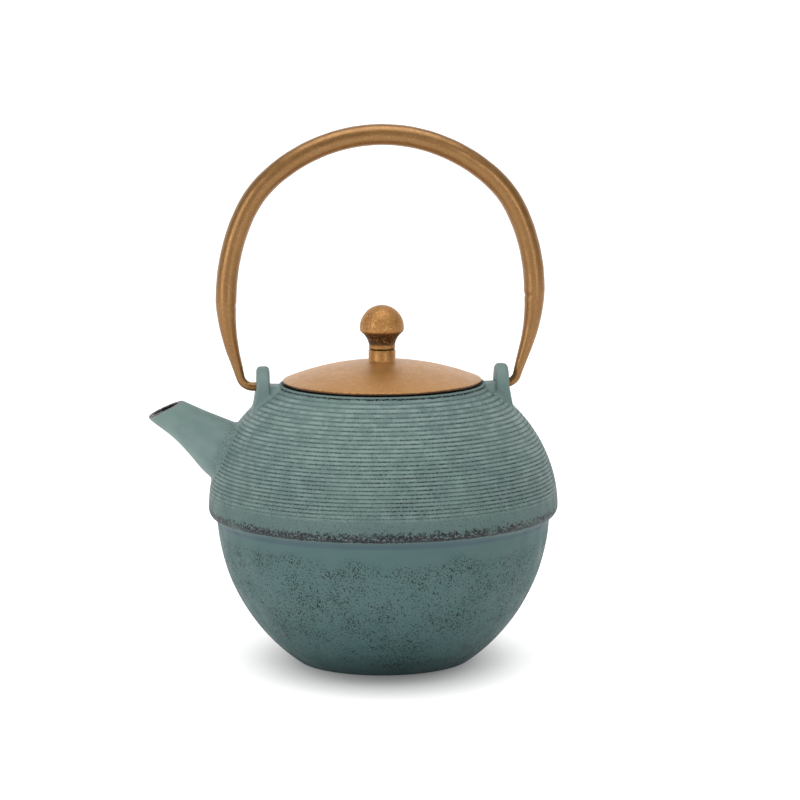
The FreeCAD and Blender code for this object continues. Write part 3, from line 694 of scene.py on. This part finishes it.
def spout(material, lining):
    """Spout with its cut mouth, a thin rim and its bore down to the inside of the pot."""
    turn = full_turn(120)
    cut = np.array([-MOUTH_RUN[1], MOUTH_RUN[0]]) / math.hypot(*MOUTH_RUN)

    def above_mouth(along, inset):
        point = bore_point(along, inset)
        return (point[:, 0] - MOUTH_LOW[0]) * cut[0] + (point[:, 2] - MOUTH_LOW[1]) * cut[1]

    def bore_point(along, inset):
        """Ring round the spout, in from its outside; its size holds below the last section."""
        held = np.maximum(along, SPOUT_ALONG[-1])
        radius = np.polyval(SPOUT_RADIUS_FIT, held) - inset
        rise = np.polyval(SPOUT_RISE_FIT, held)
        return spout_place(along, rise + radius * np.cos(turn), radius * np.sin(turn))

    def found(function, low, high):
        """Where round the spout a function of the place along it crosses 0."""
        return crossing(function, np.full(len(turn), low), np.full(len(turn), high))

    def mouth_edge(inset):
        return found(lambda s: above_mouth(s, inset), -20.0, 9.0)

    root = found(lambda s: outside_dome(bore_point(s, 0.0)), -36.5, -2.0)
    contact = bore_point(root, 0.0)
    rising = unit(bore_point(root + 2.0, 0.0) - contact)
    axis_point = spout_place(root, np.polyval(SPOUT_RISE_FIT, root), 0.0 * root)
    size = 1.7
    rows = root_rows(contact, rising, contact - axis_point, size)
    roots = [1.0] * len(rows)
    edges = [0.0] * len(rows)
    nose = (0.5 - 0.5 * np.cos(turn)) ** 3
    nearly_top = mouth_edge(0.0) - 1.0 - 2.0 * nose
    for t in np.linspace(0, 1, 30)[1:]:
        rows.append(bore_point((root + size) * (1 - t) + nearly_top * t, 0.0))
        roots.append(max(0.0, 1.0 - t * 9))
        edges.append(max(0.0, (t - 0.93) * 3))
    for inset, below, blunt, edge in ((0.03, 0.62, 1.5, 0.30), (0.12, 0.36, 1.2, 0.45),
                                      (0.28, 0.16, 0.8, 0.7), (0.50, 0.04, 0.5, 0.9),
                                      (0.8, 0.0, 0.2, 0.9), (1.4, 0.0, 0.0, 0.9),
                                      (1.68, 0.06, 0.0, 0.9), (1.83, 0.22, 0.0, 1.0),
                                      (1.9, 0.6, 0.0, 1.0)):
        rows.append(bore_point(mouth_edge(inset) - below - blunt * nose, inset))
        roots.append(0.0)
        edges.append(edge)
    points = np.stack(rows)
    chips = np.array(edges)[:, None] * 0.10 * np.clip(wobble(points, 2.6, 21), -1, 0.4)
    points = points + unit(points - axis_point) * chips[..., None]
    uneven_share = 0.05 * (1 + wobble(points, 12.0, 23)) * (1 - np.array(roots))[:, None]
    points = points - unit(points - axis_point) * uneven_share[..., None]
    pot_surface("spout_skin", points, material,
                values={"root": np.repeat(roots, len(turn)), "edge": np.repeat(edges, len(turn))})
    start = mouth_edge(SPOUT_WALL) - 0.6
    end = found(lambda s: outside_dome(bore_point(s, SPOUT_WALL), WALL), -52.0, -12.0)
    bore = [bore_point(start * (1 - t) + end * t, SPOUT_WALL)
            for t in np.linspace(0, 1, 22)]
    flat = unit(bore[-1] - axis_point)
    bore.append(bore[-1] + flat * 2.6 - dome_normal(bore[-1]) * 0.25)
    pot_surface("spout_bore", np.stack(bore), lining)


def lug(side, material):
    """One lug: a rounded tab with its eye, and a small fillet where it meets the dome."""
    count = 96
    turn = (np.arange(count) + 0.5) * 2 * math.pi / count
    rounder = 1.0 + 0.8 * np.clip(np.cos(turn), 0, 1)

    def face_x(outer, z):
        """Inner or outer face of the lug: both spread towards the foot."""
        up = np.clip((z - LUG_FOOT) / (PIVOT - LUG_FOOT), 0, 1)
        foot, eye = LUG_OUTER if outer else LUG_INNER
        return foot + (eye - foot) * up

    def rim(outer, inset):
        """Outline of the lug in its own plane, drawn in by inset, its foot sunk in the dome."""
        reach = LUG_REACH - inset * rounder
        y, z = reach * np.sin(turn), PIVOT + reach * np.cos(turn)
        below = np.cos(turn) < 0
        y = np.where(below, np.clip(20 * np.sin(turn), -reach, reach), y)
        foot = dome_height(52.0, y) - 1.6
        slope = np.cos(turn) / np.maximum(np.abs(np.sin(turn)), 1e-6) * np.abs(y)
        z = np.where(below, np.maximum(PIVOT + slope, foot), z)
        bottom = below & (PIVOT + slope < foot)
        y = np.where(bottom, (foot - PIVOT) * np.tan(turn), y)
        x = face_x(outer, z)
        sunk = dome_height(x, y) - 1.2
        return np.stack([x, y, np.where(bottom, sunk, z)], -1)

    def ring(radius, x):
        return np.stack([np.full(count, x), radius * np.sin(turn),
                         PIVOT + radius * np.cos(turn)], -1)

    rounding = [(1.0 - math.sin(a), 1.0 - math.cos(a)) for a in np.linspace(0, math.pi / 2, 6)]

    def face_rows(outer, hole):
        """Rows of one face from its hole to the edge, then over the rounded edge."""
        edge = rim(outer, 1.0)
        rows = []
        for share in (0.15, 0.5, 0.85):
            point = hole * (1 - share) + edge * share
            point[:, 0] = face_x(outer, point[:, 2])
            rows.append(point)
        for inset, shift in rounding:
            point = rim(outer, inset)
            point[:, 0] += (-shift if outer else shift) * rounder
            rows.append(point)
        return rows

    flare = ring(EYE + 1.1, LUG_OUTER[1])
    bore_in = ring(EYE + 0.25, LUG_INNER[1])
    rows = [ring(EYE, 48.7), ring(EYE, 52.1), ring(EYE + 0.25, 52.7), ring(EYE + 0.75, 53.6), flare]
    points = np.stack(rows + face_rows(True, flare) + face_rows(False, bore_in)[::-1] + [bore_in])
    points = uneven(points, 0.04, 7.0, 31 + side)
    points[..., 0] *= side
    # the lug's top is lighter worn paint, partly a painted highlight
    top = np.clip((points[..., 2] - PIVOT - 7.2) / 1.4, 0, 1) * 0.55
    word = "left" if side < 0 else "right"
    pot_surface("lug_%s" % word, points, material, closed_along=True,
                values={"edge": top, "root": 0.0 * top})

    round_turn = full_turn(140)
    power = 0.22
    x = LUG_MIDDLE + 4.35 * np.sign(np.cos(round_turn)) * np.abs(np.cos(round_turn)) ** power
    y = (LUG_REACH - 0.06) * np.sign(np.sin(round_turn)) * np.abs(np.sin(round_turn)) ** power
    z = dome_height(x, y)
    x = np.where(x < LUG_MIDDLE, np.maximum(x, face_x(False, z) + 0.06), x)
    x = np.where(x > LUG_MIDDLE, np.minimum(x, face_x(True, z) - 0.06), x)
    contact = np.stack([x, y, dome_height(x, y)], -1)
    away = np.stack([x - LUG_MIDDLE, y * 0.5, 0 * x], -1)
    lean = np.where(x > 54.6, -0.19, np.where(x < 49.0, 0.08, 0.0))
    rising = unit(np.stack([lean, 0 * x, 1 + 0 * x], -1))
    skirt = np.stack(root_rows(contact, rising, unit(away), 1.9))
    skirt[..., 0] *= side
    shape = skirt.shape[:2]
    pot_surface("lug_root_%s" % word, skirt, material,
                values={"edge": np.zeros(shape), "root": np.full(shape, 0.3)})
    saddle(side, material, "saddle_%s" % word)


def saddle(side, material, name):
    """Low web between the neck and a lug, with hollow-rounded flanks that die into the dome."""
    across = np.linspace(-1, 1, 41)
    rows = []
    for x in np.linspace(42.9, 49.4, 18):
        rise = 0.9 * np.clip((x - 47.2) / 2.0, 0, 1) ** 2
        crown = 119.62 + rise
        reach = 8.2 + 0.9 * np.clip((x - 45.0) / 4.0, 0, 1)
        y = across * reach
        flank = np.clip((np.abs(across) - 0.62) / 0.38, 0, 1)
        ground = np.where(np.hypot(x, y) < NECK_RADIUS, 119.3, dome_height(x, y)) - 0.5
        ground = np.minimum(ground, crown - 0.3)
        z = crown * (1 - flank ** 1.5) + ground * flank ** 1.5 - 0.25 * np.abs(across) ** 2
        rows.append(np.stack([np.full(len(across), side * x), y, z], -1))
    points = np.stack(rows)
    zero = np.zeros(points.shape[:2])
    pot_surface(name, points, material, closed_across=False,
                values={"edge": zero, "root": zero})


# ---------------------------------------------------------------- lid

def lid_cap(material):
    """Lid: shallow dome with its boss, thin edge, seat, locating ring and vent."""
    top = arc_points((42.8, 121.3), (6.5, 129.4), LID_ARC, 34)
    boss = [(5.95, 129.75), (5.8, 130.3), (5.8, 134.1), (5.5, 134.4), (2.2, 134.4)]
    under = rounded_path([(40.6, 119.9), (40.6, 120.5, 0.1), (42.75, 120.5, 0.25),
                          (42.75, 121.3, 0.38), tuple(top[1])], 0.5)
    inner = arc_points((36.0, 119.8), (7.0, 126.8), LID_ARC, 20)
    low = rounded_path([(2.2, 134.4), (2.2, 126.8), (7.0, 126.8)], 1.2)
    ring = rounded_path([(36.0, 119.8), (36.0, 118.3, 0.3), (38.1, 118.3, 0.3), (38.1, 119.9),
                         (40.6, 119.9)], 0.8)
    profile = np.concatenate([low, inner[::-1][1:], ring[1:], under[1:], top[2:], boss])
    points = uneven(turned(profile, 220), 0.035, 14.0, 41)
    piece = grid_object("lid_cap", points, material, "lid", "bronze_paint")
    vent_hole(piece)
    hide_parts("lid_dome")


def vent_hole(piece):
    """Cuts the round steam vent through the lid."""
    count = 32
    turn = full_turn(count)
    rows = [np.stack([VENT[0] + np.cos(turn), VENT[1] + np.sin(turn), np.full(count, z)], -1)
            for z in (115.0, 135.0)]
    points = np.concatenate(rows)
    faces = grid_faces(2, count, True)
    faces += [tuple(range(count - 1, -1, -1)), tuple(range(count, 2 * count))]
    cutter = add_object("vent_cutter", new_mesh("vent_cutter", points, faces, smooth=False))
    cut = piece.modifiers.new("vent", "BOOLEAN")
    cut.operation = "DIFFERENCE"
    cut.object = cutter
    cut.solver = "EXACT"
    bpy.context.view_layer.update()
    result = bpy.data.meshes.new_from_object(
        piece.evaluated_get(bpy.context.evaluated_depsgraph_get()))
    piece.modifiers.clear()
    piece.data = result
    bpy.data.objects.remove(cutter)


def knob(material):
    """Mushroom knob: neck, flared underside, thin rim and a ball top."""
    flare = arc_points((5.7, 136.2), (8.3, 141.4), -8.0, 12)
    across, up = KNOB_RIM
    centre = (KNOB_TOP ** 2 - across ** 2 - up ** 2) / (2 * (KNOB_TOP - up))
    radius = KNOB_TOP - centre
    first = math.asin((up - centre) / radius)
    turn = np.linspace(first, math.pi / 2 - 0.01, 34)
    ball = np.stack([radius * np.cos(turn), centre + radius * np.sin(turn)], 1)
    neck = rounded_path([(2.0, 134.55), (5.4, 134.55, 0.2), (5.7, 134.9, 0.2),
                         tuple(flare[0])], 0.5)
    rim = rounded_path([tuple(flare[-1]), (*KNOB_RIM, 0.35), tuple(ball[2])], 0.4)
    profile = np.concatenate([neck, flare[1:-1], rim, ball[3:]])
    points = turned(profile, 120)
    rough = np.exp(-((points[..., 2] - 139.5) / 2.6) ** 2)
    out = unit(points * np.array([1, 1, 0.0]))
    lumps = wobble(points, 1.7, 51, 12) * 0.10 * rough + wobble(points, 6.0, 52) * 0.05
    points = points - out * (0.08 + lumps)[..., None]
    chip = np.exp(-(((points - np.array([6.2, -5.4, 140.0])) / 1.3) ** 2).sum(-1))
    points = points - out * (chip * 0.5)[..., None]
    piece = grid_object("knob_casting", points, material, "lid", "bronze_paint")
    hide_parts("lid_knob")


# ---------------------------------------------------------------- bail

def bail_side(side):
    """Centre points, radii and share of taper of half the bail, from its top to the hook's tip."""
    leg_radius, lean = (85.0, 15.2) if side < 0 else (78.0, 17.2)
    lean = math.radians(lean)
    top = np.array([0.0, BAIL_CENTRE])

    def along(centre, radius, angle):
        return centre + radius * np.array([math.sin(angle), math.cos(angle)])

    def shifted(centre, radius, angle, new_radius):
        return centre + (radius - new_radius) * np.array([math.sin(angle), math.cos(angle)])

    first, second = math.radians(48.2), math.radians(60.0)
    shoulder = shifted(top, BAIL_ARC, first, SHOULDER_ARC)
    leg = shifted(shoulder, SHOULDER_ARC, second, leg_radius)
    points = [along(top, BAIL_ARC, a) for a in np.linspace(0, first, 60)]
    points += [along(shoulder, SHOULDER_ARC, a) for a in np.linspace(first, second, 10)[1:]]
    points += [along(leg, leg_radius, a) for a in np.linspace(second, math.pi / 2, 50)[1:]]
    arch_end = len(points)
    points += [along(leg, leg_radius, a)
               for a in np.linspace(math.pi / 2, math.pi / 2 + lean, 40)[1:]]
    bend_end = points[-1]
    down = np.array([-math.sin(lean), -math.cos(lean)])
    corner = bend_end + down * ((bend_end[1] - PIVOT) / -down[1])
    tangent = HOOK_BEND * math.tan((math.pi / 2 - lean) / 2)
    leg_end = corner - down * tangent
    points += [bend_end + (leg_end - bend_end) * t for t in np.linspace(0, 1, 46)[1:]]
    taper_end = len(points)
    hook_centre = corner + np.array([-tangent, HOOK_BEND])
    start_angle = math.atan2(*(leg_end - hook_centre))
    angles = np.linspace(start_angle, math.pi, 16)[1:]
    points += [along(hook_centre, HOOK_BEND, a) for a in angles]
    hook_end = points[-1]
    points += [hook_end + (np.array([49.0, PIVOT]) - hook_end) * t
               for t in np.linspace(0, 1, 8)[1:]]
    points = np.array(points)
    lengths = np.concatenate([[0], np.cumsum(np.linalg.norm(np.diff(points, axis=0), axis=1))])
    even = np.linspace(-30.0, 140.0, 341)
    mirrored = [np.interp(np.abs(even), lengths, points[:, k]) for k in (0, 1)]
    mirrored[0] = mirrored[0] * np.sign(even)
    spread = np.exp(-(np.arange(-24, 25) * 0.5 / 4.5) ** 2 / 2)
    spread /= spread.sum()
    eased = np.stack([np.interp(lengths, even, np.convolve(line, spread, "same"))
                      for line in mirrored], 1)
    keep = np.clip((lengths - 105.0) / 12.0, 0, 1)[:, None]
    points = eased * (1 - keep) + points * keep
    taper = np.clip((lengths - lengths[arch_end - 1])
                    / (lengths[taper_end - 1] - lengths[arch_end - 1]), 0, 1)
    radii = TUBE + (HOOK - TUBE) * taper
    direction = unit(np.gradient(points, axis=0))
    fuller = 0.45 * np.exp(-((lengths - 64.7) / 24.0) ** 2)
    points = points + np.stack([-direction[:, 1], direction[:, 0]], 1) * fuller[:, None]
    flat = np.stack([side * points[:, 0], 0 * points[:, 0], points[:, 1]], 1)
    return flat, radii, taper


def bail(material):
    """Tube bail: round arch, long tapered legs with swaged hooked ends, and small creases."""
    left, left_radii, left_taper = bail_side(-1)
    right, right_radii, right_taper = bail_side(1)
    centre = np.concatenate([left[::-1], right[1:]])
    radii = np.concatenate([left_radii[::-1], right_radii[1:]])
    taper = np.concatenate([left_taper[::-1], right_taper[1:]])
    tangent = unit(np.gradient(centre, axis=0))
    normal = unit(np.cross(tangent, np.array([0.0, 1.0, 0.0])))
    count = 40
    turn = full_turn(count)
    around = np.cos(turn)[None, :, None]
    sideways = np.sin(turn)[None, :, None]
    inner = centre - np.array([0, 0, BAIL_CENTRE])
    facing_in = -(unit(inner)[:, None, :] * (normal[:, None, :] * around)).sum(-1)
    dents = np.zeros((len(centre), count))
    for x, z in ((-66.0, 154.0), (67.0, 164.5), (65.6, 157.0)):
        gap = np.linalg.norm(centre - np.array([x, 0, z]), axis=1)
        dents += np.exp(-(gap / 0.9) ** 2)[:, None] * np.clip(facing_in, 0, 1) * 0.28
    swage = np.clip((taper - 0.75) / 0.2, 0, 1)[:, None] * np.where(taper < 1, 1, 0.3)[:, None]
    lines = swage * 0.10 * np.clip(np.cos(3 * turn + 0.6), 0, 1)[None, :] ** 6
    size = radii[:, None] - dents - lines
    points = centre[:, None, :] + size[..., None] * (normal[:, None, :] * around
                                                     + np.array([0, 1.0, 0]) * sideways)
    points = points - unit(points - centre[:, None, :]) * (0.03 + 0.03 * wobble(points, 9.0, 61)
                                                           )[..., None]
    rows = [points[0] * 0.4 + centre[0] * 0.6, points[0] * 0.9 + centre[0] * 0.1]
    rows_end = [points[-1] * 0.9 + centre[-1] * 0.1, points[-1] * 0.4 + centre[-1] * 0.6]
    points = np.concatenate([np.stack(rows), points[1:-1], np.stack(rows_end)])
    faces = grid_faces(len(points), count, True)
    faces.append(tuple(range(count)))
    faces.append(tuple(range(len(points) * count - 1, (len(points) - 1) * count - 1, -1)))
    piece = make_object("bail_arch", points.reshape(-1, 3), faces, material, "bail")
    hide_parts("bail_tube")


# ---------------------------------------------------------------- infuser

def perforated(name, place, columns, rows, material, keep=None):
    """Sheet of small octagonal holes; place(u, v) maps cell coordinates to space."""
    outline = [(0, 0), (0.5, 0), (1, 0), (1, 0.5), (1, 1), (0.5, 1), (0, 1), (0, 0.5)]
    hole = [(0.5 + 0.27 * math.cos(a), 0.5 + 0.27 * math.sin(a))
            for a in np.radians(np.arange(225, 585, 45))]
    vertices, faces = [], []
    for row in range(rows):
        for column in range(columns):
            if keep is not None and not keep(column + 0.5, row + 0.5):
                continue
            first = len(vertices)
            for u, v in outline + hole:
                vertices.append(place(column + u, row + v))
            for k in range(8):
                following = (k + 1) % 8
                faces.append((first + k, first + following, first + 8 + following, first + 8 + k))
    piece = make_object(name, vertices, faces, material, "infuser")
    thick = piece.modifiers.new("sheet", "SOLIDIFY")
    thick.thickness = 0.4 * MM
    thick.offset = -1.0
    weld = piece.modifiers.new("weld", "WELD")
    weld.merge_threshold = 0.02 * MM
    piece.modifiers.move(1, 0)
    return piece


def infuser(material):
    """Perforated sleeve and floor with plain bands top and bottom."""
    low, high = SLEEVE_HEIGHTS
    columns, rows = SLEEVE_HOLES

    def sleeve(u, v):
        turn = 2 * math.pi * u / columns
        return (SLEEVE_RADIUS * math.cos(turn), SLEEVE_RADIUS * math.sin(turn),
                low + (high - low) * v / rows)

    wall = perforated("infuser_sleeve", sleeve, columns, rows, material)
    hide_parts("infuser_wall")
    for name, bottom, top in (("infuser_band_low", 54.0, low),
                              ("infuser_band_high", high, LEDGE)):
        profile = rounded_path([(34.6, bottom), (34.6, top), (34.12, top), (34.12, bottom),
                                (34.6, bottom)], 1.0)
        grid_object(name, turned(profile, columns), material, "infuser", "infuser_steel")

    def disc(u, v):
        return ((u - SIEVE_CELLS / 2) * SIEVE_PITCH, (v - SIEVE_CELLS / 2) * SIEVE_PITCH,
                SIEVE_HEIGHT)

    def in_disc(u, v):
        return math.hypot(u - SIEVE_CELLS / 2, v - SIEVE_CELLS / 2) * SIEVE_PITCH < 31.4

    sieve = perforated("infuser_sieve", disc, SIEVE_CELLS, SIEVE_CELLS, material, in_disc)
    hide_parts("infuser_floor")
    profile = rounded_path([(30.2, 53.93), (34.58, 53.93), (34.58, 53.52), (30.2, 53.52),
                            (30.2, 53.93)], 1.0)
    grid_object("infuser_sieve_edge", turned(profile, columns), material, "infuser",
                "infuser_steel")
    paint_nodes(material, "infuser_rim", "infuser_base_ring")


# ---------------------------------------------------------------- studio

def floor():
    """Large pale floor curving up behind; it emits light that fades out into a painted shadow under
    the pot.
    """
    reach, flat, bend, top = 12000.0, 900.0, 1100.0, 2400.0
    line = [(-reach, 0.0), (0.0, 0.0), (flat, 0.0)]
    line += [(flat + bend * math.sin(a), bend - bend * math.cos(a))
             for a in np.linspace(0, math.pi / 2, 20)[1:]]
    line.append((flat + bend, top))
    rows = [[(x, y, z) for x in (-reach, 0, reach)] for y, z in line]
    paint = Paint("floor_paper", roughness=0.9)
    paint.feed(paint.shader.inputs["Base Color"], (0.35, 0.35, 0.35))
    length = paint.tree.nodes.new("ShaderNodeVectorMath")
    length.operation = "LENGTH"
    paint.feed(length.inputs[0], paint.stretched(1.42, 1.0, 1.0))
    # emission ramp: dim near the pot, a painted shadow pool, and full far out
    shadow_pool_glow = paint.tree.nodes.new("ShaderNodeValToRGB")
    shadow_pool_glow.color_ramp.interpolation = "B_SPLINE"
    stops = shadow_pool_glow.color_ramp.elements
    for position, level in ((0.040, 0.06), (0.060, 0.34), (0.086, 0.79), (0.125, 0.90),
                            (0.22, 1.0)):
        stop = stops.new(position)
        stop.color = (level, level, level, 1)
    stops[0].color = (0.05, 0.05, 0.05, 1)
    stops[-1].color = (1, 1, 1, 1)
    paint.feed(shadow_pool_glow.inputs[0], length.outputs["Value"])
    paint.feed(paint.shader.inputs["Emission Color"], shadow_pool_glow.outputs["Color"])
    paint.shader.inputs["Emission Strength"].default_value = 1.0
    points = np.array(rows).reshape(-1, 3)
    mesh = new_mesh("studio_floor", points, grid_faces(len(rows), 3, False))
    mesh.materials.append(paint.material)
    add_object("studio_floor", mesh)


def soft_light(name, place, target, size, power):
    """Rectangular softbox that looks at a target."""
    data = bpy.data.lights.new(name, "AREA")
    data.shape = "RECTANGLE"
    data.size, data.size_y = size
    data.energy = power
    light = add_object(name, data)
    light.location = place
    direction = np.array(target) - np.array(place)
    light.rotation_mode = "QUATERNION"
    light.rotation_quaternion = Vector(direction).to_track_quat("-Z", "Y")


def studio():
    """White surroundings, a big softbox overhead and one on each side in front."""
    world = bpy.data.worlds.new("studio")
    world.use_nodes = True
    world.node_tree.nodes["Background"].inputs[0].default_value = (1, 1, 1, 1)
    world.node_tree.nodes["Background"].inputs[1].default_value = 0.26
    bpy.context.scene.world = world
    bpy.context.scene.view_settings.view_transform = "Standard"
    soft_light("top_softbox", (0.0, -0.15, 1.25), (0, 0, 0.1), (1.3, 0.9), 12.0)
    soft_light("left_softbox", (-1.25, -1.05, 0.45), (0, 0, 0.12), (0.65, 1.0), 9.5)
    soft_light("right_softbox", (0.75, -1.45, 0.45), (0, 0, 0.12), (0.25, 1.0), 5.0)


def camera():
    """Long lens, a little above the pot, turned slightly to the spout's side."""
    data = bpy.data.cameras.new("camera")
    data.sensor_width = 36.0
    data.lens = data.sensor_width * CAMERA_FOCAL / CAMERA_PICTURE
    data.shift_x = CAMERA_SHIFT / CAMERA_PICTURE
    data.clip_start, data.clip_end = 0.1, 20.0
    view = add_object("camera", data)
    turn, pitch = math.radians(-CAMERA_TURN), math.radians(CAMERA_PITCH)
    target = np.array([0, 0, CAMERA_AIM])
    back = np.array([math.sin(turn) * math.cos(pitch), -math.cos(turn) * math.cos(pitch),
                     math.sin(pitch)])
    view.location = target + back * CAMERA_DISTANCE
    view.rotation_mode = "QUATERNION"
    level = Vector(-back).to_track_quat("-Z", "Y")
    view.rotation_quaternion = level @ Quaternion((0, 0, 1), math.radians(-CAMERA_ROLL))
    bpy.context.scene.camera = view


camera()
studio()
floor()

POT_PAINT = pot_paint()
SPOUT_PAINT = spout_paint()
ENAMEL = enamel()
pot_skin(POT_PAINT)
pot_lining(ENAMEL)
spout(SPOUT_PAINT, ENAMEL)
lug(-1, SPOUT_PAINT)
lug(1, SPOUT_PAINT)
# lid, knob and bail share one bronze paint at three brightnesses: lit and shaded copies, painted
# light and shade
lid_cap(bronze("lid_bronze", 0.55, 0.40, 1.08, 0.04, lid_shadow))
knob(bronze("knob_bronze", 0.70, 0.60, 0.96, 0.12, knob_shadow))
bail(bronze("bail_bronze", 0.42, 0.24, 0.60, -0.05))
infuser(steel("infuser_steel", 0.30, (1.0, 1.0, 12.0)))
paint_nodes(steel("screw_steel", 0.35, (1.0, 1.0, 1.0)), "knob_screw", "knob_washer")
